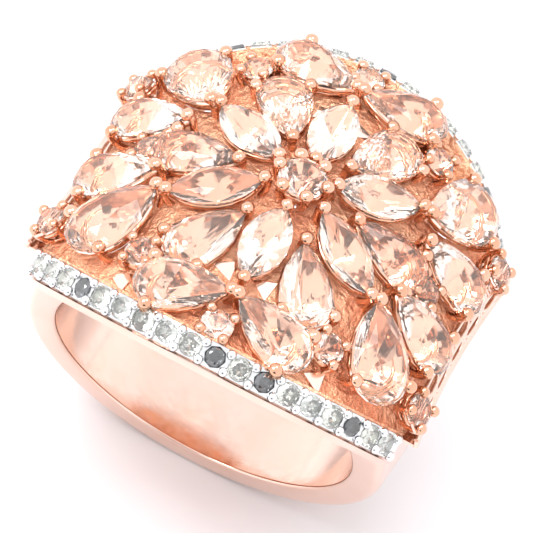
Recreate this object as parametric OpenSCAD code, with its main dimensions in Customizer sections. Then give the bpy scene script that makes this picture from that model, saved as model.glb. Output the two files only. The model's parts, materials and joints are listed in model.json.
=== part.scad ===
// Domed cocktail ring: a plain tapering band, a pierced head between two
// stone-set rails, and thirty-seven claw-set stones in a flower layout.
// The finger hole runs along Y and its middle is the origin. +Z goes up
// through the head, and -Y is the front rail.

/* [Finger hole and band] */
// Radius of the finger hole, 17.3 mm across for a US size 7
bore_r = 8.65; // [8.55:0.05:8.7]
// Thickness of the band at its crown
band_t = 2.0; // [1.8:0.1:2.2]
// Half the width of the band at the bottom
band_half_w = 2.5; // [2.3:0.05:2.7]
// Half the width of the band level with the finger hole's middle
band_half_w_mid = 6.25; // [6.15:0.05:6.35]
// Height at which the band's arms end under the head
band_top_z = 4.05; // [3.95:0.05:4.1]
// How far the band's outside is crowned across its width, as a radius
band_crown_r = 60; // [50:5:80]

// Half the length of the flat under the band, which the ring stands on
stand_half = 1.75; // [1.5:0.05:2]

/* [Head] */
// Height of the stones' girdles at the middle of the head
head_top = 11.2; // [11.1:0.05:11.4]
// Radius of the dome from side to side
dome_r = 13.8; // [13.6:0.1:14.2]
// Radius of the dome from front to back
dome_ry = 42; // [40:1:48]
// Thickness of the pierced plate that joins the settings
plate_t = 0.7; // [0.6:0.05:0.8]
// Depth of the plate's top under the girdles
plate_drop = 0.85; // [0.8:0.05:0.95]
// Thickness of the curved gallery that lines the finger hole
liner_t = 0.35; // [0.3:0.05:0.4]

/* [Rails] */
// Radius of the hoop that a rail's stone-set face follows
rail_r = 11.75; // [11.7:0.05:11.8]
// Lean of a rail's hoop towards the middle of the head
rail_tilt = 39.4; // [39:0.1:40]
// Distance of a rail's hoop from the middle of the ring, along the finger
rail_back = 3.65; // [3.6:0.05:3.7]
// Height of a rail's hoop over the middle of the finger hole
rail_up = 0.25; // [0.21:0.02:0.29]
// Width of a rail's stone-set face
rail_w = 1.34; // [1.3:0.02:1.38]
// Depth of a rail under its stone-set face
rail_depth = 1.0; // [0.95:0.05:1.05]
// Half the angle that a rail runs through
rail_span = 63.3; // [62.9:0.1:63.7]
// Radius of the head's front and back edges in plan
head_bow_r = 17.8; // [17.6:0.1:18]
// Number of stones along a rail
rail_stones = 18; // [16:2:18]

/* [Stones] */
// Diameter of the centre stone
centre_d = 2.6; // [2.4:0.1:2.8]
// Length of a marquise
marquise_l = 5; // [4.8:0.1:5.2]
// Width of a marquise
marquise_w = 2.5; // [2.3:0.1:2.6]
// Length of an inner, outer or side pear
pear_l = 5; // [4.8:0.1:5.2]
// Width of an inner, outer or side pear
pear_w = 3; // [2.8:0.1:3.1]
// Length of a corner pear
corner_l = 5.4; // [5.2:0.1:5.6]
// Width of a corner pear
corner_w = 3.7; // [3.5:0.1:3.8]
// Diameter of a small round stone
round_d = 1.75; // [1.6:0.05:1.8]
// Radius of a claw's wire
claw_r = 0.24; // [0.2:0.02:0.26]
// Radius of a claw's bead
bead_r = 0.36; // [0.32:0.02:0.38]

/* [Hidden] */
$fn = 64;
STONE_POINTS = 16;
CLEAR = 0.01;
FAR = 40;
band_r = bore_r + band_t;
liner_r = bore_r + liner_t;
rail_y = rail_back + rail_r * sin(rail_tilt) + rail_w / 2 * cos(rail_tilt);
bow_c = head_bow_r - rail_y;
head_inset = rail_w + 0.35;
stand_z = sqrt(pow(band_r, 2) - pow(stand_half, 2));
plate_r = dome_r - plate_drop;
dome_c = head_top - dome_r;

ROSE = "#e9a883";
ROSE_DEEP = "#d98f66";
RHODIUM = "#e9eaec";
MORGANITE = "#f6cdbb";
DIAMOND = "#dfe6e2";
GREY_STONE = "#5b6064";

// ---- The dome that the stones stand on

function dome_z(x, y) = dome_c + sqrt(pow(dome_r, 2) - pow(x, 2)) - pow(y, 2) / (2 * dome_ry);
function lean_x(x) = asin(x / dome_r);
function lean_y(y) = atan(y / dome_ry);

// Puts a piece on the dome at x, y, raised by lift and turned to a heading
module on_dome(x, y, lift = 0, heading = 0) {
    translate([x, y, dome_z(x, y)])
        rotate([-lean_y(y), lean_x(x), 0])
            translate([0, 0, lift])
                rotate([0, 0, heading])
                    children();
}

// ---- Where the stones stand: [x, y, heading, lift]

MIRRORS = [[1, 1], [-1, 1], [-1, -1], [1, -1]];
function four_ways(x, y, heading, lift) = [for (m = MIRRORS)
    [m[0] * x, m[1] * y, atan2(m[1] * sin(heading), m[0] * cos(heading)), lift]];
function spokes(radius, first, lift) = [for (i = [0:5])
    [radius * cos(first + 60 * i), radius * sin(first + 60 * i), first + 60 * i, lift]];

CENTRE = [[0, 0, 0, 0.5]];
MARQUISES = spokes(4.35, 30, 0);
INNER_PEARS = spokes(5.85, 0, -0.35);
OUTER_PEARS = four_ways(2.55, 8.6, 15, 0.1);
CORNER_PEARS = four_ways(7.6, 5.45, 50, 0.15);
SIDE_PEARS = four_ways(8.9, 2.2, 5, 0);
WINDOWS = concat(four_ways(1.1, 6.2, 90, 0), four_ways(5.85, 8.7, 90, 0));
SMALL_ROUNDS = concat(four_ways(5.4, 7.3, 0, -0.1), four_ways(10.6, 5.35, 0, 0.1),
    [[8.25, 0, 0, -0.3], [-8.25, 0, 0, -0.3], [0, 9.7, 0, -0.2], [0, -9.7, 0, -0.2]]);

// ---- Outlines of the stones' girdles, along X, around the middle of their length

function round_outline(d) = [for (i = [0:STONE_POINTS - 1])
    d / 2 * [cos(360 * i / STONE_POINTS), sin(360 * i / STONE_POINTS)]];

// Two arcs that meet in two points
function marquise_outline(l, w) =
    let (side_r = (l * l + w * w) / (4 * w), reach = asin(l / 2 / side_r), n = STONE_POINTS / 2)
    concat([for (i = [0:n - 1]) let (a = reach * (1 - 2 * i / n))
                [side_r * sin(a), w / 2 - side_r + side_r * cos(a)]],
           [for (i = [0:n - 1]) let (a = reach * (1 - 2 * i / n))
                [-side_r * sin(a), -(w / 2 - side_r + side_r * cos(a))]]);

// A round end towards +X and a point towards -X, joined by two arcs
function pear_outline(l, w) =
    let (r = w / 2, middle = l / 2 - r, run = l - r,
         side_r = (run * run + r * r) / (2 * r), reach = asin(run / side_r), n = STONE_POINTS / 2)
    concat([for (i = [0:n]) let (a = -90 + 180 * i / n) [middle + r * cos(a), r * sin(a)]],
           [for (i = [1:n / 2]) let (a = reach * 2 * i / n)
                [middle - side_r * sin(a), r - side_r + side_r * cos(a)]],
           [for (i = [n / 2 - 1:-1:1]) let (a = reach * 2 * i / n)
                [middle - side_r * sin(a), -(r - side_r + side_r * cos(a))]]);

// ---- A cut stone: crown, girdle and pavilion on the outline

module cut_stone(outline, w) {
    crown_h = 0.17 * w;
    girdle_h = 0.05 * w;
    pavilion_h = 0.46 * w;
    table = 0.58;
    keel = 0.06;
    hull() {
        translate([0, 0, -girdle_h / 2])
            linear_extrude(girdle_h) polygon(outline);
        linear_extrude(crown_h) polygon(table * outline);
        translate([0, 0, -pavilion_h])
            linear_extrude(pavilion_h) polygon(keel * outline);
    }
}

module stone_at(place, outline, w) {
    color(MORGANITE)
        on_dome(place[0], place[1], place[3], place[2])
            cut_stone(outline, w);
}

module centre_stone() stone_at(CENTRE[0], round_outline(centre_d), centre_d);
module marquise(i) stone_at(MARQUISES[i - 1], marquise_outline(marquise_l, marquise_w), marquise_w);
module inner_pear(i) stone_at(INNER_PEARS[i - 1], pear_outline(pear_l, pear_w), pear_w);
module outer_pear(i) stone_at(OUTER_PEARS[i - 1], pear_outline(pear_l, pear_w), pear_w);
module corner_pear(i) stone_at(CORNER_PEARS[i - 1], pear_outline(corner_l, corner_w), corner_w);
module side_pear(i) stone_at(SIDE_PEARS[i - 1], pear_outline(pear_l, pear_w), pear_w);
module small_round(i) stone_at(SMALL_ROUNDS[i - 1], round_outline(round_d), round_d);

// ---- Settings: a collet under the girdle and claws with beads on top

collet_out = 0.9;
collet_in = 0.74;
collet_top = -0.5;
collet_h = 0.6;
claw_top = 0.12;
claw_len = 1.35;

module claw(p) {
    spread = 1 + (claw_r - 0.02) / norm(p);
    translate([p[0] * spread, p[1] * spread, claw_top]) {
        sphere(bead_r, $fn = 24);
        translate([0, 0, -claw_len]) cylinder(claw_len, claw_r, claw_r, $fn = 24);
    }
}

module setting(place, outline, claws) {
    on_dome(place[0], place[1], place[3], place[2]) {
        translate([0, 0, collet_top - collet_h])
            linear_extrude(collet_h)
                difference() {
                    polygon(collet_out * outline);
                    polygon(collet_in * outline);
                }
        for (p = claws) claw(p);
    }
}

module settings(places, outline, claws) {
    color(ROSE)
        difference() {
            for (place = places) setting(place, outline, claws);
            finger_space(liner_r);
        }
}

// A pear's claws: one at its point and one on each shoulder
function pear_claws(l, w) = [[-l / 2, 0],
    [l / 2 - w / 2 + w / 2 * cos(68), w / 2 * sin(68)],
    [l / 2 - w / 2 + w / 2 * cos(68), -w / 2 * sin(68)]];
function ring_claws(d, n, first) = [for (i = [0:n - 1])
    d / 2 * [cos(first + 360 * i / n), sin(first + 360 * i / n)]];

module centre_setting() settings(CENTRE, round_outline(centre_d), ring_claws(centre_d, 6, 0));
module marquise_settings() settings(MARQUISES, marquise_outline(marquise_l, marquise_w),
    [[marquise_l / 2, 0], [-marquise_l / 2, 0]]);
module inner_pear_settings() settings(INNER_PEARS, pear_outline(pear_l, pear_w), pear_claws(pear_l, pear_w));
module outer_pear_settings() settings(OUTER_PEARS, pear_outline(pear_l, pear_w), pear_claws(pear_l, pear_w));
module corner_pear_settings()
    settings(CORNER_PEARS, pear_outline(corner_l, corner_w), pear_claws(corner_l, corner_w));
module side_pear_settings() settings(SIDE_PEARS, pear_outline(pear_l, pear_w), pear_claws(pear_l, pear_w));
module round_settings() settings(SMALL_ROUNDS, round_outline(round_d), ring_claws(round_d, 4, 45));

// ---- Band

// A cylinder along Y round the finger hole's middle
module finger_space(r) {
    rotate([90, 0, 0]) cylinder(FAR, r, r, center = true, $fn = 128);
}

// The band's half width grows with height, in a straight run from the bottom to the arms
band_slope = (band_half_w_mid - band_half_w) / stand_z;
band_half_w_top = band_half_w_mid + band_slope * band_top_z;

// The band's section on its right side: flat inside, crowned outside
module band_section() {
    crown_steps = 8;
    polygon(concat([[bore_r - 1, band_half_w_top], [bore_r - 1, -band_half_w_top]],
        [for (i = [0:crown_steps])
            let (y = band_half_w_top * (2 * i / crown_steps - 1))
            [band_r - band_crown_r + sqrt(pow(band_crown_r, 2) - pow(y, 2)), y]]));
}

// A half ring under the finger with a straight arm up each side
module shank() {
    color(ROSE)
        difference() {
            intersection() {
                union() {
                    rotate([90, 0, 0])
                        rotate([0, 0, 180])
                            rotate_extrude(angle = 180, $fn = 128) band_section();
                    for (side = [0, 1])
                        mirror([side, 0, 0])
                            linear_extrude(band_top_z) band_section();
                }
                rotate([90, 0, 90])
                    linear_extrude(FAR, center = true)
                        polygon([[-band_half_w, -stand_z], [band_half_w, -stand_z],
                            [band_half_w_top, band_top_z], [-band_half_w_top, band_top_z]]);
            }
            finger_space(bore_r);
        }
}

// ---- Head body

// The head's plan between the rails, bowed out at the front and the back
module head_plan(half_len) {
    intersection() {
        translate([0, -bow_c]) circle(head_bow_r - head_inset, $fn = 128);
        translate([0, bow_c]) circle(head_bow_r - head_inset, $fn = 128);
        square([2 * half_len, FAR], center = true);
    }
}

// A curved gallery against the finger, pierced with a grid of six-sided windows
module under_gallery() {
    window_r = 0.8;
    window_step = 13;
    window_rows = 3;
    window_gap = 2.2;
    color(ROSE_DEEP)
        difference() {
            intersection() {
                rotate([90, 0, 0])
                    difference() {
                        cylinder(FAR, liner_r, liner_r, center = true, $fn = 128);
                        cylinder(FAR + 1, bore_r, bore_r, center = true, $fn = 128);
                    }
                linear_extrude(FAR) head_plan(FAR);
                translate([-FAR / 2, -FAR / 2, band_top_z + CLEAR]) cube(FAR);
            }
            for (a = [-4:4], even = a % 2 == 0, row = [-window_rows:window_rows - (even ? 0 : 1)])
                rotate([0, window_step * a, 0])
                    translate([0, window_gap * (row + (even ? 0 : 0.5)), bore_r - 1])
                        cylinder(3, window_r, window_r, $fn = 6);
        }
}

// The pierced plate that carries the collets, with an opening under each stone
module head_lattice() {
    seat = 0.7;
    window_r = 0.55;
    plate_half_y = rail_y - head_inset + CLEAR;
    steps = 6;
    color(ROSE_DEEP)
        difference() {
            intersection() {
                translate([0, 0, dome_c])
                    rotate([90, 0, 0])
                        rotate_extrude($fn = 128)
                            polygon(concat(
                                [for (i = [0:steps]) let (y = plate_half_y * (2 * i / steps - 1))
                                    [plate_r - pow(y, 2) / (2 * dome_ry), y]],
                                [for (i = [steps:-1:0]) let (y = plate_half_y * (2 * i / steps - 1))
                                    [plate_r - plate_t - pow(y, 2) / (2 * dome_ry), y]]));
                translate([0, 0, side_wall_foot])
                    linear_extrude(FAR) head_plan(side_wall_x - side_wall_t - CLEAR);
            }
            finger_space(liner_r + CLEAR);
            seats(CENTRE, seat * round_outline(centre_d));
            seats(MARQUISES, seat * marquise_outline(marquise_l, marquise_w));
            seats(concat(INNER_PEARS, OUTER_PEARS, SIDE_PEARS), seat * pear_outline(pear_l, pear_w));
            seats(CORNER_PEARS, seat * pear_outline(corner_l, corner_w));
            seats(SMALL_ROUNDS, seat * round_outline(round_d));
            seats(WINDOWS, window_r * [for (a = [0, 120, 240]) [cos(a), sin(a)]]);
        }
}

module seats(places, outline) {
    depth = 4;
    for (place = places)
        on_dome(place[0], place[1], place[3] - depth, place[2])
            linear_extrude(depth) polygon(outline);
}

// ---- Side galleries: a wall that dips in at the waist, with pointed windows

side_wall_x = 11.0;
side_wall_t = 0.5;
side_wall_r = 50;
side_wall_foot = band_top_z + CLEAR;
side_wall_h = 1.9;
side_wall_half_y = 6.3;

module side_gallery(side) {
    windows = 4;
    window_w = 1.9;
    window_gap = 0.7;
    window_h = 1.05;
    window_z = side_wall_foot + 0.45;
    ledge_x = 9.9;
    ledge_t = 0.3;
    ring_x = side_wall_x + side_wall_r;
    color(ROSE)
        mirror([side > 0 ? 0 : 1, 0, 0])
            intersection() {
                translate([ledge_x, -side_wall_half_y, -FAR / 2]) cube([FAR, 2 * side_wall_half_y, FAR]);
                translate([ring_x, 0, side_wall_foot])
                    difference() {
                        union() {
                            difference() {
                                cylinder(side_wall_h, side_wall_r + side_wall_t, side_wall_r + side_wall_t,
                                    $fn = 180);
                                translate([0, 0, -1])
                                    cylinder(side_wall_h + 2, side_wall_r, side_wall_r, $fn = 180);
                            }
                            difference() {
                                cylinder(ledge_t, side_wall_r + 2, side_wall_r + 2, $fn = 180);
                                translate([0, 0, -1])
                                    cylinder(side_wall_h + 2, side_wall_r, side_wall_r, $fn = 180);
                            }
                        }
                        for (i = [0:windows - 1])
                            translate([-side_wall_r, (i - (windows - 1) / 2) * (window_w + window_gap),
                                window_z - side_wall_foot])
                                rotate([90, 0, 90])
                                    linear_extrude(6, center = true)
                                        polygon([[-window_w / 2, 0], [window_w / 2, 0],
                                            [window_w / 2, window_h / 2], [0, window_h],
                                            [-window_w / 2, window_h / 2]]);
                    }
            }
}

module side_gallery_left() side_gallery(-1);
module side_gallery_right() side_gallery(1);

// ---- Rails: leaning hoops over the finger hole, set with alternating stones

rail_pocket_r = 0.58;
rail_pocket_depth = 0.4;
rail_lip = 0.42;
rail_hollow = rail_depth / 2;

function rail_angle(i) = rail_span * 0.965 * (2 * (i + 0.5) / rail_stones - 1);

// Puts a piece in a rail's hoop: Z along its axis, -Y up to its crest
module in_hoop(side) {
    mirror([0, side > 0 ? 1 : 0, 0])
        translate([0, -rail_back, rail_up])
            rotate([rail_tilt - 90, 0, 0])
                children();
}

// Puts a piece on a rail's face, Z outwards, at an angle from the crest and across from its middle
module on_rail(side, angle, across, lift = 0) {
    in_hoop(side)
        rotate([0, 0, angle - 90])
            translate([rail_r + lift, 0, across])
                rotate([0, 90, 0])
                    children();
}

module rail(side) {
    color(RHODIUM)
        difference() {
            intersection() {
                in_hoop(side)
                    rotate([0, 0, -90 - rail_span])
                        rotate_extrude(angle = 2 * rail_span, $fn = 128)
                            polygon([[rail_r, -rail_w / 2],
                                [rail_r - rail_hollow, -rail_w / 2 - rail_lip],
                                [rail_r - rail_depth, -rail_w / 2],
                                [rail_r - rail_depth, rail_w / 2],
                                [rail_r, rail_w / 2]]);
                translate([-FAR / 2, -FAR / 2, band_top_z + CLEAR]) cube(FAR);
            }
            finger_space(bore_r);
            for (i = [0:rail_stones - 1])
                on_rail(side, rail_angle(i), 0, -rail_pocket_depth)
                    cylinder(1, rail_pocket_r, rail_pocket_r, $fn = 8);
        }
}

// A strip of the head's metal along the side of a rail that faces the stones
module border(side) {
    border_t = 0.16;
    border_low = 0.9;
    border_top = 0.06;
    color(ROSE_DEEP)
        intersection() {
            in_hoop(side)
                rotate([0, 0, -90 - rail_span])
                    rotate_extrude(angle = 2 * rail_span, $fn = 128)
                        translate([rail_r - border_low, rail_w / 2 + CLEAR])
                            square([border_low - border_top, border_t]);
            translate([-FAR / 2, -FAR / 2, band_top_z + CLEAR]) cube(FAR);
        }
}

// Small beads shared between neighbouring stones, in a row along each edge of the rail
module rail_beads(side) {
    rail_bead_r = 0.22;
    edge = 0.2;
    color(RHODIUM)
        for (i = [0:rail_stones], end = [-1, 1])
            on_rail(side, rail_angle(i - 0.5), end * (rail_w / 2 - edge), 0.06)
                sphere(rail_bead_r, $fn = 16);
}

// Every second stone along a rail, starting at the first or the second
module rail_stone_row(side, first, tint) {
    stone_r = rail_pocket_r - 0.02;
    crown_h = 0.16;
    color(tint)
        for (i = [first:2:rail_stones - 1])
            on_rail(side, rail_angle(i), 0)
                hull() {
                    translate([0, 0, -0.04]) cylinder(0.04, stone_r, stone_r, $fn = 8);
                    cylinder(crown_h, stone_r * 0.6, stone_r * 0.6, $fn = 8);
                    translate([0, 0, -rail_pocket_depth + CLEAR])
                        cylinder(0.1, stone_r * 0.3, stone_r * 0.3, $fn = 8);
                }
}

module rail_front() rail(-1);
module rail_back() rail(1);
module border_front() border(-1);
module border_back() border(1);
module rail_beads_front() rail_beads(-1);
module rail_beads_back() rail_beads(1);
module rail_diamonds_front() rail_stone_row(-1, 0, DIAMOND);
module rail_diamonds_back() rail_stone_row(1, 0, DIAMOND);
module rail_grey_stones_front() rail_stone_row(-1, 1, GREY_STONE);
module rail_grey_stones_back() rail_stone_row(1, 1, GREY_STONE);

shank();
under_gallery();
head_lattice();
side_gallery_left();
side_gallery_right();
rail_front();
rail_back();
border_front();
border_back();
rail_beads_front();
rail_beads_back();
rail_diamonds_front();
rail_diamonds_back();
rail_grey_stones_front();
rail_grey_stones_back();
centre_setting();
marquise_settings();
inner_pear_settings();
outer_pear_settings();
corner_pear_settings();
side_pear_settings();
round_settings();
centre_stone();
marquise(1);  // marquise_1
marquise(2);  // marquise_2
marquise(3);  // marquise_3
marquise(4);  // marquise_4
marquise(5);  // marquise_5
marquise(6);  // marquise_6
inner_pear(1);  // inner_pear_1
inner_pear(2);  // inner_pear_2
inner_pear(3);  // inner_pear_3
inner_pear(4);  // inner_pear_4
inner_pear(5);  // inner_pear_5
inner_pear(6);  // inner_pear_6
outer_pear(1);  // outer_pear_1
outer_pear(2);  // outer_pear_2
outer_pear(3);  // outer_pear_3
outer_pear(4);  // outer_pear_4
corner_pear(1);  // corner_pear_1
corner_pear(2);  // corner_pear_2
corner_pear(3);  // corner_pear_3
corner_pear(4);  // corner_pear_4
side_pear(1);  // side_pear_1
side_pear(2);  // side_pear_2
side_pear(3);  // side_pear_3
side_pear(4);  // side_pear_4
small_round(1);  // small_round_1
small_round(2);  // small_round_2
small_round(3);  // small_round_3
small_round(4);  // small_round_4
small_round(5);  // small_round_5
small_round(6);  // small_round_6
small_round(7);  // small_round_7
small_round(8);  // small_round_8
small_round(9);  // small_round_9
small_round(10);  // small_round_10
small_round(11);  // small_round_11
small_round(12);  // small_round_12
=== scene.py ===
"""A domed cocktail ring on a pale studio table: stones, claws, rails, galleries and band."""
import json
import math

import bmesh
import bpy
from mathutils import Matrix, Vector


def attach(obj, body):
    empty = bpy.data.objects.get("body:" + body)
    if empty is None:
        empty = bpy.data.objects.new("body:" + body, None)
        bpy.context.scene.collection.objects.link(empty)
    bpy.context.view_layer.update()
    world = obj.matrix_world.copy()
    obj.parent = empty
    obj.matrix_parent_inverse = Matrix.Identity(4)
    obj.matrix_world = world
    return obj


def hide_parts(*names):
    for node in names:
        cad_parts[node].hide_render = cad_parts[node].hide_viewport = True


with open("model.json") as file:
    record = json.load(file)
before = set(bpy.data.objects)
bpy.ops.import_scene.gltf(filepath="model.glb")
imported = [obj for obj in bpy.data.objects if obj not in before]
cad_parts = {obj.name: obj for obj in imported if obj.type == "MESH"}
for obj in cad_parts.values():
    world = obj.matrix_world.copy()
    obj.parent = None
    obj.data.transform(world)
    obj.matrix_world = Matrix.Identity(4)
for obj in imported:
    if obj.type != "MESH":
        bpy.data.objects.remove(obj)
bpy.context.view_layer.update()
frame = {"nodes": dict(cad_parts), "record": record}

# ---- Driving sizes, in millimetres

MM = 0.001
HOLE = frame["record"]["mounts"][0]["dims"]
BORE_R = HOLE["r_mm"]
BAND_T = 2.0
BAND_R = BORE_R + BAND_T
BAND_TOP = 4.05
STAND_HALF = 1.75
STAND_Z = math.sqrt(BAND_R ** 2 - STAND_HALF ** 2)
BAND_HALF_W = 2.5
BAND_HALF_W_MID = 6.25
BAND_CROWN_R = 60.0
HEAD_TOP = 11.2
DOME_R = 13.8
DOME_RY = 42.0
RAIL_R = 11.75
RAIL_TILT = math.radians(39.4)
RAIL_BACK = 3.65
RAIL_UP = 0.25
RAIL_W = 1.34
RAIL_SPAN = math.radians(63.3)
RAIL_STONES = 18
RAIL_FILL = 0.965
RAIL_STONE_RISE = 0.02
RAIL_BEAD_R = 0.27
RAIL_BEAD_INSET = 0.2
DARK_PLACES = (3, 9, 11, 15)
SIDE_WALL_X = 11.0
SIDE_WALL_R = 50.0
SIDE_WALL_HALF_Y = 6.2
CENTRE_D = 2.6
MARQUISE = (5.0, 2.5)
PEAR = (5.0, 3.0)
CORNER_PEAR = (5.4, 3.7)
ROUND_D = 1.75
STONE_POINTS = 16
BODY = "root"


# ---- The dome that the stones stand on

def dome_z(x, y):
    return HEAD_TOP - DOME_R + math.sqrt(DOME_R ** 2 - x * x) - y * y / (2 * DOME_RY)


def on_dome(x, y, lift=0.0, heading=0.0):
    """The frame of a stone's girdle: Z out of the dome, X along the heading."""
    lean_x = math.asin(x / DOME_R)
    lean_y = math.atan(y / DOME_RY)
    return (Matrix.Translation((x, y, dome_z(x, y))) @ Matrix.Rotation(lean_x, 4, "Y")
            @ Matrix.Rotation(-lean_y, 4, "X") @ Matrix.Translation((0, 0, lift))
            @ Matrix.Rotation(math.radians(heading), 4, "Z"))


def spokes(radius, first, lift):
    out = []
    for i in range(6):
        a = math.radians(first + 60 * i)
        out.append((radius * math.cos(a), radius * math.sin(a), first + 60 * i, lift))
    return out


def four_ways(x, y, heading, lift):
    h = math.radians(heading)
    return [(sx * x, sy * y, math.degrees(math.atan2(sy * math.sin(h), sx * math.cos(h))), lift)
            for sx, sy in ((1, 1), (-1, 1), (-1, -1), (1, -1))]


# ---- Outlines of the girdles

def round_outline(size, n=STONE_POINTS):
    return [Vector((size[0] / 2 * math.cos(math.tau * i / n), size[0] / 2 * math.sin(math.tau * i / n)))
            for i in range(n)]


def marquise_outline(size, n=STONE_POINTS):
    length, width = size
    side_r = (length ** 2 + width ** 2) / (4 * width)
    reach = math.asin(length / 2 / side_r)
    half = n // 2
    upper = []
    for i in range(half):
        a = reach * (1 - 2 * i / half)
        upper.append(Vector((side_r * math.sin(a), width / 2 - side_r + side_r * math.cos(a))))
    return upper + [-p for p in upper]


def pear_outline(size, n=STONE_POINTS):
    """Starts at the side, runs round the broad end, and has its point at three quarters."""
    length, width = size
    r = width / 2
    middle = length / 2 - r
    run = length - r
    side_r = (run * run + r * r) / (2 * r)
    reach = math.asin(run / side_r)
    half = n // 2
    quarter = half // 2
    out = []
    for i in range(half + 1):
        a = math.radians(-90 + 180 * i / half)
        out.append(Vector((middle + r * math.cos(a), r * math.sin(a))))
    flank = []
    for i in range(1, quarter + 1):
        a = reach * i / quarter
        flank.append(Vector((middle - side_r * math.sin(a), r - side_r + side_r * math.cos(a))))
    back = [Vector((p.x, -p.y)) for p in reversed(flank[:-1])]
    return out + flank + back


def pear_claws(size):
    length, width = size
    r = width / 2
    a = math.radians(68)
    side = (length / 2 - r + r * math.cos(a), r * math.sin(a))
    return [Vector((-length / 2, 0)), Vector(side), Vector((side[0], -side[1]))]


def ring_claws(size, n, first):
    return [Vector((size[0] / 2 * math.cos(math.radians(first + 360 * i / n)),
                    size[0] / 2 * math.sin(math.radians(first + 360 * i / n)))) for i in range(n)]


# Each kind of stone: its places, the outline and size of its girdle, and where its claws stand
KINDS = {
    "centre": ([(0, 0, 0, 0.5)], round_outline, (CENTRE_D, CENTRE_D), ring_claws((CENTRE_D,), 6, 0)),
    "marquise": (spokes(4.35, 30, 0), marquise_outline, MARQUISE,
                 [Vector((MARQUISE[0] / 2, 0)), Vector((-MARQUISE[0] / 2, 0))]),
    "inner_pear": (spokes(5.85, 0, -0.35), pear_outline, PEAR, pear_claws(PEAR)),
    "outer_pear": (four_ways(2.55, 8.6, 15, 0.1), pear_outline, PEAR, pear_claws(PEAR)),
    "corner_pear": (four_ways(7.6, 5.45, 50, 0.15), pear_outline, CORNER_PEAR, pear_claws(CORNER_PEAR)),
    "side_pear": (four_ways(8.9, 2.2, 5, 0), pear_outline, PEAR, pear_claws(PEAR)),
    "small_round": (four_ways(5.4, 7.3, 0, -0.1) + four_ways(10.6, 5.35, 0, 0.1)
                    + [(8.25, 0, 0, -0.3), (-8.25, 0, 0, -0.3), (0, 9.7, 0, -0.2), (0, -9.7, 0, -0.2)],
                    round_outline, (ROUND_D, ROUND_D), ring_claws((ROUND_D,), 4, 45)),
}


# ---- Making a finished piece

def finish_piece(bm, name, material, nodes=(), smooth_angle=None):
    """Turns a bmesh in millimetres into a piece of the ring, in metres."""
    bmesh.ops.scale(bm, vec=(MM, MM, MM), verts=bm.verts)
    mesh = bpy.data.meshes.new(name)
    bm.to_mesh(mesh)
    bm.free()
    mesh.materials.append(material)
    if smooth_angle is not None:
        mesh.shade_smooth()
        mesh.set_sharp_from_angle(angle=math.radians(smooth_angle))
    piece = bpy.data.objects.new(name, mesh)
    bpy.context.scene.collection.objects.link(piece)
    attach(piece, BODY)
    if nodes:
        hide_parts(*nodes)
    return piece


WIRE_ROUNDNESS = 3


class Wires:
    """Gathers round wires and turns them into one mesh."""

    def __init__(self):
        self.curve = bpy.data.curves.new("wires", "CURVE")
        self.curve.dimensions = "3D"
        self.curve.bevel_depth = 1.0
        self.curve.bevel_resolution = WIRE_ROUNDNESS
        self.curve.use_fill_caps = True

    def add(self, points, radii, closed=False):
        spline = self.curve.splines.new("POLY")
        spline.points.add(len(points) - 1)
        if not hasattr(radii, "__len__"):
            radii = [radii] * len(points)
        for target, p, r in zip(spline.points, points, radii):
            target.co = (p[0], p[1], p[2], 1)
            target.radius = r
        spline.use_cyclic_u = closed

    def pour_into(self, bm):
        holder = bpy.data.objects.new("wires", self.curve)
        bpy.context.scene.collection.objects.link(holder)
        bpy.context.view_layer.update()
        evaluated = holder.evaluated_get(bpy.context.evaluated_depsgraph_get())
        mesh = bpy.data.meshes.new_from_object(evaluated)
        bm.from_mesh(mesh)
        bpy.data.objects.remove(holder)
        bpy.data.meshes.remove(mesh)
        bpy.data.curves.remove(self.curve)


# ---- Materials

def new_material(name):
    m = bpy.data.materials.new(name)
    m.use_nodes = True
    tree = m.node_tree
    shader = tree.nodes["Principled BSDF"]
    return m, tree, shader


def noise(tree, scale, detail, roughness=0.5):
    place = tree.nodes.new("ShaderNodeTexCoord")
    n = tree.nodes.new("ShaderNodeTexNoise")
    n.inputs["Scale"].default_value = scale
    n.inputs["Detail"].default_value = detail
    n.inputs["Roughness"].default_value = roughness
    tree.links.new(place.outputs["Object"], n.inputs["Vector"])
    return n.outputs["Fac"]


def spread(tree, source, low, high, start=0.35, end=0.65):
    """A noise stretched to run from low to high."""
    n = tree.nodes.new("ShaderNodeMapRange")
    n.inputs["From Min"].default_value = start
    n.inputs["From Max"].default_value = end
    n.inputs["To Min"].default_value = low
    n.inputs["To Max"].default_value = high
    tree.links.new(source, n.inputs["Value"])
    return n.outputs["Result"]


def blend_colours(tree, source, a, b):
    n = tree.nodes.new("ShaderNodeMix")
    n.data_type = "RGBA"
    n.inputs["A"].default_value = (*a, 1)
    n.inputs["B"].default_value = (*b, 1)
    tree.links.new(source, n.inputs["Factor"])
    return n.outputs["Result"]


def bump(tree, source, strength, distance):
    n = tree.nodes.new("ShaderNodeBump")
    n.inputs["Strength"].default_value = strength
    n.inputs["Distance"].default_value = distance
    tree.links.new(source, n.inputs["Height"])
    return n.outputs["Normal"]


def plated_metal(name, light, deep, rough, grain_scale, grain_depth, metallic=1.0, grain=0.35):
    """Plated silver: a slow change of tone, a finer change of polish and a faint surface grain."""
    m, tree, shader = new_material(name)
    shader.inputs["Metallic"].default_value = metallic
    tone = spread(tree, noise(tree, 350, 2), 0, 1)
    tree.links.new(blend_colours(tree, tone, light, deep), shader.inputs["Base Color"])
    polish = spread(tree, noise(tree, 1800, 4), rough[0], rough[1])
    tree.links.new(polish, shader.inputs["Roughness"])
    height = noise(tree, grain_scale, 5, 0.6)
    tree.links.new(bump(tree, height, grain, grain_depth), shader.inputs["Normal"])
    return m


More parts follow.
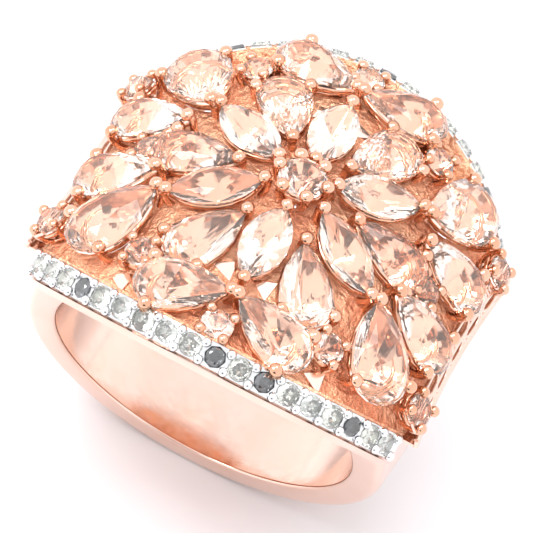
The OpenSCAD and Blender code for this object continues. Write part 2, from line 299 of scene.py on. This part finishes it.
def cut_gem(name, clear, tinted, ior, veil_scale, clarity):
    """A clear stone: faint colour zones and, at its skin, a trace of polish lines."""
    m, tree, shader = new_material(name)
    shader.inputs["Roughness"].default_value = 0.0
    shader.inputs["IOR"].default_value = ior
    shader.inputs["Transmission Weight"].default_value = clarity
    zone = spread(tree, noise(tree, veil_scale, 2), 0, 1)
    tree.links.new(blend_colours(tree, zone, clear, tinted), shader.inputs["Base Color"])
    lines = noise(tree, 9000, 2)
    tree.links.new(bump(tree, lines, 0.04, 0.000004), shader.inputs["Normal"])
    return m


ROSE = plated_metal("rose_gold_polished", (0.86, 0.64, 0.55), (0.84, 0.60, 0.495), (0.1, 0.2), 2600, 0.00001)
# The claws get a darker, browner copy of the rose gold: painted shade standing in for the dark surroundings
# and neighbouring parts that the polished beads reflect.
CLAW_ROSE_SHADED = plated_metal("rose_gold_claws_painted_shade", (0.84, 0.50, 0.36), (0.72, 0.40, 0.26), (0.04, 0.09), 2600, 0.000006)
# The cups and the plate facets get a lighter copy of the rose gold: painted light that lifts the stones and
# openings where little light reaches.
LIGHTENED_ROSE = plated_metal("rose_gold_lightened", (1.0, 0.81, 0.71), (0.99, 0.76, 0.65), (0.06, 0.16), 2600,
                   0.000003)
# The lattice, borders and under gallery: the rough grain is the cast metal's own, but the colour, brighter
# and more orange than the band's, is painted light standing in for light bounced between rose-gold parts and
# lifting the shade under the stones.
ROSE_CAST_LIGHTENED = plated_metal("rose_gold_cast_lightened", (1.0, 0.60, 0.39), (1.0, 0.47, 0.28), (0.05, 0.16), 1700, 0.0006,
                         0.75, 0.9)
RHODIUM = plated_metal("rhodium_bright", (0.82, 0.82, 0.82), (0.72, 0.73, 0.74), (0.06, 0.16), 3000, 0.00003)
MORGANITE = cut_gem("morganite", (1.0, 0.90, 0.84), (1.0, 0.83, 0.74), 1.43, 260, 0.95)
DIAMOND = cut_gem("diamond_white", (0.98, 0.99, 0.92), (0.90, 0.92, 0.83), 2.2, 700, 0.93)
PALE_GREY_STONE = cut_gem("diamond_pale_grey", (0.88, 0.90, 0.84), (0.66, 0.68, 0.65), 2.2, 900, 0.9)
DARK_GREY_STONE = cut_gem("diamond_dark_grey", (0.26, 0.27, 0.28), (0.06, 0.065, 0.07), 2.2, 900, 0.85)


# ---- Stones

# Shares of a stone's width: half its girdle, and its pavilion's depth
GIRDLE = 0.025
PAVILION = 0.46
# The star facets' ring and the keel's ring, each as a share of the outline and of the height or depth
STARS = (0.80, 0.62)
KEEL = (0.26, 0.765)
# A facet on the crown and pavilion spans this many points of the girdle
FACET_STEP = 2


def belly_of(outline, size):
    """Where a stone is deepest: under the broad end of a pear, or else under the middle."""
    lopsided = abs(outline[0].x + outline[len(outline) // 2].x) > 0.01
    return Vector((0.42 * (size[0] - size[1]), 0)) if lopsided else Vector((0, 0))


def cut_stone(bm, place, outline, size, table=0.56, crown=0.19, pavilion=PAVILION):
    """A brilliant on any outline: table, stars, kites, girdle and a pavilion to a small culet."""
    width = size[1]
    girdle = GIRDLE * width
    top = crown * width
    deep = pavilion * width
    belly = belly_of(outline, size)
    points = []

    def ring(share, z, first, step):
        for i in range(first, len(outline), step):
            p = belly + (outline[i] - belly) * share
            points.append((p.x, p.y, z))

    between = FACET_STEP // 2
    ring(table, girdle + top, 0, FACET_STEP)
    ring(STARS[0], girdle + STARS[1] * top, between, FACET_STEP)
    ring(1.0, girdle, 0, 1)
    ring(1.0, -girdle, 0, 1)
    ring(KEEL[0], -girdle - KEEL[1] * deep, between, FACET_STEP)
    points.append((belly.x, belly.y, -girdle - deep))
    verts = [bm.verts.new(place @ Vector(p)) for p in points]
    made = bmesh.ops.convex_hull(bm, input=verts)
    spare = [v for v in made["geom_interior"] if isinstance(v, bmesh.types.BMVert)]
    bmesh.ops.delete(bm, geom=spare, context="VERTS")
    bmesh.ops.dissolve_limit(bm, angle_limit=math.radians(1.0), verts=bm.verts, edges=bm.edges)


def stones():
    for kind, (places, outline, size, _claws) in KINDS.items():
        for i, (x, y, heading, lift) in enumerate(places):
            node = "centre_stone" if kind == "centre" else f"{kind}_{i + 1}"
            bm = bmesh.new()
            cut_stone(bm, on_dome(x, y, lift, heading), outline(size), size)
            finish_piece(bm, f"{node}_cut", MORGANITE, [node])


# ---- Claw settings

CUP_GAP = 0.05
CUP_WALL = 0.09


def cup(bm, place, outline, size):
    """A thin cup close under a stone's pavilion. Its lighter rose gold is painted light that brightens the
    stone from below.
    """
    deep = PAVILION * size[1]
    belly = belly_of(outline, size)
    rings = []
    for drop, grow in ((CUP_GAP, 0.0), (CUP_GAP + CUP_WALL, 0.02)):
        for share in (0.95, 0.6, KEEL[0]):
            z = -GIRDLE * size[1] - drop - (1 - share) / (1 - KEEL[0]) * KEEL[1] * deep
            rings.append([bm.verts.new(place @ Vector((*(belly + (p - belly) * (share + grow)), z)))
                          for p in outline])
    apex = [bm.verts.new(place @ Vector((belly.x, belly.y, -GIRDLE * size[1] - drop - deep)))
            for drop in (CUP_GAP, CUP_GAP + CUP_WALL)]
    n = len(outline)
    faces = []
    for a, b in ((0, 1), (1, 2), (3, 4), (4, 5), (0, 3)):
        for i in range(n):
            k = (i + 1) % n
            faces.append(bm.faces.new((rings[a][i], rings[a][k], rings[b][k], rings[b][i])))
    for ring, tip in ((rings[2], apex[0]), (rings[5], apex[1])):
        for i in range(n):
            faces.append(bm.faces.new((ring[i], ring[(i + 1) % n], tip)))
    bmesh.ops.recalc_face_normals(bm, faces=faces)


def basket(bm, wires, place, outline, claws, bead_r, wire_r):
    """Two gallery wires round a stone's pavilion, and bent claws with round tips.

    A claw's spots are pairs: how far outside the girdle, and how high.
    """
    for share, z in ((0.9, -0.42), (0.6, -1.0)):
        wires.add([place @ Vector((p.x * share, p.y * share, z)) for p in outline], wire_r, closed=True)
    for p in claws:
        out = p.normalized()
        spots = ((-0.35, -1.25), (0.0, -0.8), (0.2, -0.3), (0.22, 0.02), (0.12, 0.2))
        wires.add([place @ Vector((p.x + out.x * o, p.y + out.y * o, z)) for o, z in spots],
                  [wire_r * grow for grow in (1.2, 1.4, 1.4, 1.45, 1.5)])
        tip = place @ Matrix.Translation((p.x + out.x * 0.06, p.y + out.y * 0.06, 0.2)) \
            @ Matrix.Diagonal((1, 1, 0.85, 1))
        bmesh.ops.create_icosphere(bm, subdivisions=3, radius=bead_r, matrix=tip)


SETTING_NODES = {"centre": "centre_setting", "small_round": "round_settings"}


def settings():
    for kind, (places, outline, size, claws) in KINDS.items():
        bead_r, wire_r = (0.3, 0.12) if kind == "small_round" else (0.38, 0.15)
        claw_work = bmesh.new()
        cups = bmesh.new()
        wires = Wires()
        for x, y, heading, lift in places:
            place = on_dome(x, y, lift, heading)
            basket(claw_work, wires, place, outline(size), claws, bead_r, wire_r)
            cup(cups, place, outline(size), size)
        wires.pour_into(claw_work)
        finish_piece(cups, f"{kind}_cups", LIGHTENED_ROSE)
        node = SETTING_NODES.get(kind, f"{kind}_settings")
        finish_piece(claw_work, f"{kind}_claws", CLAW_ROSE_SHADED, [node], 45)


def window_light_facets():
    """Small pale facets set in the openings of the plate: painted light where light shows through them."""
    bm = bmesh.new()
    for x, y, heading, lift in four_ways(1.15, 6.25, 35, -0.86) + four_ways(5.85, 8.75, 15, -0.86):
        place = on_dome(x, y, lift, heading)
        bmesh.ops.create_cone(bm, cap_ends=True, cap_tris=False, segments=3, radius1=0.8, radius2=0.74,
                              depth=0.1, matrix=place)
    finish_piece(bm, "plate_painted_window_light", LIGHTENED_ROSE)


# ---- Rails

def on_rail(side, angle, across, lift=0.0):
    """The frame of a stone on a rail: Z out of its face, at an angle from the rail's crest."""
    turn, way = (0.0, 1) if side < 0 else (math.pi, -1)
    return (Matrix.Rotation(turn, 4, "Z") @ Matrix.Translation((0, -RAIL_BACK, RAIL_UP))
            @ Matrix.Rotation(RAIL_TILT - math.pi / 2, 4, "X")
            @ Matrix.Rotation(way * angle - math.pi / 2, 4, "Z")
            @ Matrix.Translation((RAIL_R + lift, 0, -way * side * across))
            @ Matrix.Rotation(math.pi / 2, 4, "Y"))


def rail_angle(i):
    return RAIL_SPAN * RAIL_FILL * (2 * (i + 0.5) / RAIL_STONES - 1)


def rail_stone(bm, place, r):
    """A small stone with a wide eight-sided table."""
    outline = round_outline((2 * r, 2 * r))
    cut_stone(bm, place, outline, (2 * r, 2 * r), table=0.6, crown=0.14, pavilion=0.3)


def rail_stones():
    """White and grey stones in turn. Most of the grey ones are pale."""
    pale = [i for i in range(1, RAIL_STONES, 2) if i not in DARK_PLACES]
    kinds = ((range(0, RAIL_STONES, 2), "diamonds", "white", DIAMOND, "diamond", 0.62),
             (pale, "grey_stones", "pale", PALE_GREY_STONE, "grey_stone", 0.58),
             (DARK_PLACES, "grey_stones", "dark", DARK_GREY_STONE, "grey_stone", 0.5))
    for side, where in ((-1, "front"), (1, "back")):
        for places, word, tone, material, slot, r in kinds:
            bm = bmesh.new()
            for i in places:
                rail_stone(bm, on_rail(side, rail_angle(i), 0.0, RAIL_STONE_RISE), r)
            node = f"rail_{word}_{where}"
            finish_piece(bm, f"{node}_{tone}", material, [node])


def rail_skirts():
    """The rose-gold lower edge of each rail, under the white plating.

    Its section is pairs: how far outside the rail's radius, and how far in front of its face.
    """
    for side, where in ((-1, "front"), (1, "back")):
        bm = bmesh.new()
        section = [(-0.02, 0.14), (0.05, 0.15), (-0.47, 0.46), (-0.52, 0.4)]
        hoop = Matrix.Translation((0, side * RAIL_BACK, RAIL_UP)) @ Matrix.Rotation(
            -side * (RAIL_TILT - math.pi / 2), 4, "X")
        start = Matrix.Rotation(side * math.pi / 2 - RAIL_SPAN, 4, "Z")
        verts = [bm.verts.new(hoop @ start @ Vector((RAIL_R + r, 0, -RAIL_W / 2 - z))) for r, z in section]
        edges = [bm.edges.new((verts[i], verts[(i + 1) % len(verts)])) for i in range(len(verts))]
        made = bmesh.ops.spin(bm, geom=verts + edges, cent=hoop.to_translation(),
                              axis=hoop.to_3x3() @ Vector((0, 0, 1)), dvec=(0, 0, 0),
                              angle=2 * RAIL_SPAN, steps=96, use_merge=False, use_duplicate=False)
        last = [e for e in made["geom_last"] if isinstance(e, bmesh.types.BMEdge)]
        for rim in (edges, last):
            bmesh.ops.contextual_create(bm, geom=rim)
        bmesh.ops.recalc_face_normals(bm, faces=bm.faces)
        finish_piece(bm, f"rail_skirt_{where}", ROSE, (), 40)


def rail_beads():
    for side, where in ((-1, "front"), (1, "back")):
        bm = bmesh.new()
        for i in range(RAIL_STONES + 1):
            for across in (RAIL_BEAD_INSET - RAIL_W / 2, RAIL_W / 2 - RAIL_BEAD_INSET):
                bmesh.ops.create_icosphere(bm, subdivisions=3, radius=RAIL_BEAD_R,
                                           matrix=on_rail(side, rail_angle(i - 0.5), across, 0.08))
        node = f"rail_beads_{where}"
        finish_piece(bm, f"{node}_raised", RHODIUM, [node], 60)


# ---- Pieces refined from their CAD solids

def refined(node, material, edge, name):
    """A copy of a CAD solid with its sharp edges softened."""
    bm = bmesh.new()
    bm.from_mesh(frame["nodes"][node].data)
    bmesh.ops.scale(bm, vec=(1 / MM,) * 3, verts=bm.verts)
    bmesh.ops.remove_doubles(bm, verts=bm.verts, dist=0.002)
    bmesh.ops.dissolve_limit(bm, angle_limit=math.radians(1.0), verts=bm.verts, edges=bm.edges)
    sharp = [e for e in bm.edges if e.is_manifold and e.calc_face_angle(0) > math.radians(32)]
    bmesh.ops.bevel(bm, geom=sharp, offset=edge, offset_type="OFFSET", segments=2, profile=0.5,
                    affect="EDGES", material=-1, clamp_overlap=True)
    bmesh.ops.remove_doubles(bm, verts=bm.verts, dist=0.0005)
    finish_piece(bm, name, material, [node], 35)


# ---- Side galleries

LEDGE_X = 9.95


def slab(bm, outline, height):
    """A flat plate on an outline, rising by height."""
    face = bm.faces.new([bm.verts.new(p) for p in outline])
    made = bmesh.ops.extrude_face_region(bm, geom=[face])
    risen = [v for v in made["geom"] if isinstance(v, bmesh.types.BMVert)]
    bmesh.ops.translate(bm, vec=(0, 0, height), verts=risen)
    skin = {f for v in risen for f in v.link_faces} | {face}
    bmesh.ops.recalc_face_normals(bm, faces=list(skin))


def side_gallery(side, where):
    """Four thin tiers that step outwards as they go down, joined by rows of ovals and short bars."""
    bm = bmesh.new()
    wires = Wires()

    def spot(y, tier):
        z, inward = tier
        x = SIDE_WALL_X + SIDE_WALL_R - math.sqrt(SIDE_WALL_R ** 2 - y * y) - inward
        return Vector((side * x, y, BAND_TOP + z))

    steps = 36
    # How high each tier stands above the band, and how far it is set in
    tiers = ((0.14, 0.12), (0.62, 0.2), (1.2, 0.42), (1.72, 0.78))
    for tier in tiers:
        wires.add([spot(SIDE_WALL_HALF_Y * (2 * i / steps - 1), tier) for i in range(steps + 1)], 0.13)
    windows = 6
    oval_points = 24
    pitch = 2 * SIDE_WALL_HALF_Y / windows
    for row, (low, high) in enumerate(zip(tiers, tiers[1:])):
        shift = 0.5 * (row % 2)
        for k in range(windows - row % 2):
            middle = (k + 0.5 + shift) * pitch - SIDE_WALL_HALF_Y
            loop = []
            for i in range(oval_points):
                a = math.tau * i / oval_points
                share = 0.5 + 0.5 * math.sin(a)
                tier = [low[n] + (high[n] - low[n]) * share for n in (0, 1)]
                loop.append(spot(middle + 0.4 * pitch * math.cos(a), tier))
            wires.add(loop, 0.1, closed=True)
            wires.add([spot(middle - pitch / 2, low), spot(middle - pitch / 2, high)], 0.11)
        wires.add([spot(SIDE_WALL_HALF_Y, low), spot(SIDE_WALL_HALF_Y, high)], 0.13)
    wires.pour_into(bm)
    floor = (0.02, 0.05)
    ledge = [spot(SIDE_WALL_HALF_Y * (2 * i / steps - 1), floor) for i in range(steps + 1)]
    ledge += [Vector((side * LEDGE_X, y, BAND_TOP + floor[0])) for y in (SIDE_WALL_HALF_Y, -SIDE_WALL_HALF_Y)]
    slab(bm, ledge, 0.2)
    node = f"side_gallery_{where}"
    finish_piece(bm, f"{node}_scrolls", ROSE, [node], 45)


# ---- Band

def band_half_width(z):
    """Half the band's width, which grows with height."""
    return BAND_HALF_W_MID + (BAND_HALF_W_MID - BAND_HALF_W) / STAND_Z * z


def band_section(outer_r, inner_r, arc=6):
    """Half a section, outer crown first: each point's radius, and its share of the flat half width.

    Past a share of 1, the rest is a distance beyond the flat part, in millimetres.
    """
    out = [(BAND_R, 0.0), (BAND_R, 0.5)]
    out += [(BAND_R - outer_r + outer_r * math.cos(t), 1 + outer_r * math.sin(t))
            for t in (math.pi / 2 * i / arc for i in range(arc + 1))]
    out += [(BORE_R + inner_r - inner_r * math.cos(t), 1 + outer_r - inner_r + inner_r * math.sin(t))
            for t in (math.pi / 2 * (1 - i / arc) for i in range(arc + 1))]
    return out + [(BORE_R, 0.5), (BORE_R, 0.0)]


def band():
    """A thick band with rounded edges, turned round the finger hole, with straight arms."""
    bm = bmesh.new()
    outer_r, inner_r = 0.5, 0.22
    half = band_section(outer_r, inner_r)
    section = half + [(r, -y) for r, y in reversed(half[1:-1])]
    reach = math.radians(120)
    verts = [bm.verts.new((r * math.sin(-reach), y, -r * math.cos(-reach))) for r, y in section]
    edges = [bm.edges.new((verts[i], verts[(i + 1) % len(verts)])) for i in range(len(verts))]
    made = bmesh.ops.spin(bm, geom=verts + edges, cent=(0, 0, 0), axis=(0, -1, 0), dvec=(0, 0, 0),
                          angle=2 * reach, steps=120, use_merge=False, use_duplicate=False)
    last = [e for e in made["geom_last"] if isinstance(e, bmesh.types.BMEdge)]
    for rim_edges in (edges, last):
        bmesh.ops.contextual_create(bm, geom=rim_edges)
    for v in bm.verts:
        r = math.hypot(v.co.x, v.co.z)
        turned = math.atan2(abs(v.co.x), -v.co.z)
        share = (r - BORE_R) / BAND_T
        if turned > math.pi / 2:
            z = BAND_TOP * (turned - math.pi / 2) / (reach - math.pi / 2)
            x = (1 - share) * math.sqrt(r * r - z * z) + share * r
            v.co.x, v.co.z = math.copysign(x, v.co.x), z
        width = band_half_width(v.co.z) - outer_r
        y = abs(v.co.y)
        y = y * width if y <= 1 else width + y - 1
        v.co.y = math.copysign(y, v.co.y)
        sag = share * y * y / (2 * BAND_CROWN_R)
        flat = Vector((v.co.x, 0, min(v.co.z, 0))).normalized()
        v.co -= flat * sag
        v.co.z = max(v.co.z, -STAND_Z)
    bmesh.ops.recalc_face_normals(bm, faces=bm.faces)
    finish_piece(bm, "band_polished", ROSE, ["shank"], 40)


# ---- Table, light and camera

TABLE_HALF = 1500


def table_top():
    bm = bmesh.new()
    bmesh.ops.create_grid(bm, x_segments=1, y_segments=1, size=TABLE_HALF,
                          matrix=Matrix.Translation((0, 0, -STAND_Z - 0.01)))
    bmesh.ops.scale(bm, vec=(MM, MM, MM), verts=bm.verts)
    mesh = bpy.data.meshes.new("table_top")
    bm.to_mesh(mesh)
    bm.free()
    m, tree, shader = new_material("table_white")
    shader.inputs["Base Color"].default_value = (0.80, 0.78, 0.795, 1)
    shader.inputs["Roughness"].default_value = 0.6
    mesh.materials.append(m)
    top = bpy.data.objects.new("table_top", mesh)
    bpy.context.scene.collection.objects.link(top)


def direction(azimuth, elevation):
    a, e = math.radians(azimuth), math.radians(elevation)
    return Vector((math.sin(a) * math.cos(e), -math.cos(a) * math.cos(e), math.sin(e)))


def softbox(name, azimuth, elevation, distance, size, power):
    data = bpy.data.lights.new(name, "AREA")
    data.shape = "RECTANGLE"
    data.size, data.size_y = size[0] * MM, size[1] * MM
    data.energy = power
    light = bpy.data.objects.new(name, data)
    light.location = direction(azimuth, elevation) * distance * MM
    light.rotation_euler = (-light.location).to_track_quat("-Z", "Y").to_euler()
    bpy.context.scene.collection.objects.link(light)


TENT_STRENGTH = 1.45
# The dark card's azimuth and elevation, its inner and outer reach in degrees, and its colour
CARD_AT = (6, 9)
CARD_REACH = (15, 21)
CARD_TONE = (0.02, 0.02, 0.021, 1)


def studio():
    """A white tent that is a little darker towards the top, with a dark card low in front."""
    world = bpy.data.worlds.new("studio_tent")
    bpy.context.scene.world = world
    world.use_nodes = True
    tree = world.node_tree
    background = tree.nodes["Background"]
    place = tree.nodes.new("ShaderNodeTexCoord")
    split = tree.nodes.new("ShaderNodeSeparateXYZ")
    tree.links.new(place.outputs["Generated"], split.inputs[0])
    ramp = tree.nodes.new("ShaderNodeValToRGB")
    stops = ramp.color_ramp.elements
    stops[0].position, stops[0].color = 0.0, (1, 1, 1, 1)
    stops[1].position, stops[1].color = 0.6, (0.9, 0.9, 0.92, 1)
    tree.links.new(split.outputs["Z"], ramp.inputs["Fac"])
    card = tree.nodes.new("ShaderNodeVectorMath")
    card.operation = "DOT_PRODUCT"
    tree.links.new(place.outputs["Generated"], card.inputs[0])
    card.inputs[1].default_value = direction(*CARD_AT)
    edge = tree.nodes.new("ShaderNodeMapRange")
    edge.inputs["From Min"].default_value = math.cos(math.radians(CARD_REACH[1]))
    edge.inputs["From Max"].default_value = math.cos(math.radians(CARD_REACH[0]))
    tree.links.new(card.outputs["Value"], edge.inputs["Value"])
    mix = tree.nodes.new("ShaderNodeMix")
    mix.data_type = "RGBA"
    mix.inputs["B"].default_value = CARD_TONE
    tree.links.new(edge.outputs["Result"], mix.inputs["Factor"])
    tree.links.new(ramp.outputs["Color"], mix.inputs["A"])
    tree.links.new(mix.outputs["Result"], background.inputs["Color"])
    background.inputs["Strength"].default_value = TENT_STRENGTH
    softbox("softbox_left", -60, 55, 260, (110, 110), 0.42)
    softbox("softbox_top", 180, 82, 260, (90, 90), 0.16)


def camera():
    azimuth, elevation, roll = 8.4, 50, math.radians(20.8)
    distance = 294
    back = direction(azimuth, elevation)
    right = Vector((0, 0, 1)).cross(back).normalized()
    up = back.cross(right)
    tilted_right = math.cos(roll) * right + math.sin(roll) * up
    tilted_up = -math.sin(roll) * right + math.cos(roll) * up
    data = bpy.data.cameras.new("camera")
    data.sensor_width = 36
    data.lens = 378
    data.clip_start, data.clip_end = 0.02, 10
    cam = bpy.data.objects.new("camera", data)
    slide_right, slide_up = 0.81, 2.52
    spot = back * distance + tilted_right * slide_right + tilted_up * slide_up
    cam.matrix_world = Matrix.Translation(spot * MM) @ Matrix(
        (tilted_right, tilted_up, back)).transposed().to_4x4()
    bpy.context.scene.collection.objects.link(cam)
    bpy.context.scene.camera = cam


bpy.context.scene.view_settings.view_transform = "Standard"
camera()
studio()
table_top()
band()
stones()
settings()
rail_stones()
rail_beads()
window_light_facets()
rail_skirts()
for where in ("front", "back"):
    refined(f"rail_{where}", RHODIUM, 0.05, f"rail_{where}_plated")
side_gallery(-1, "left")
side_gallery(1, "right")
for where in ("front", "back"):
    refined(f"border_{where}", ROSE_CAST_LIGHTENED, 0.03, f"border_{where}_cast")
refined("head_lattice", ROSE_CAST_LIGHTENED, 0.05, "head_lattice_cast")
refined("under_gallery", ROSE_CAST_LIGHTENED, 0.03, "under_gallery_cast")
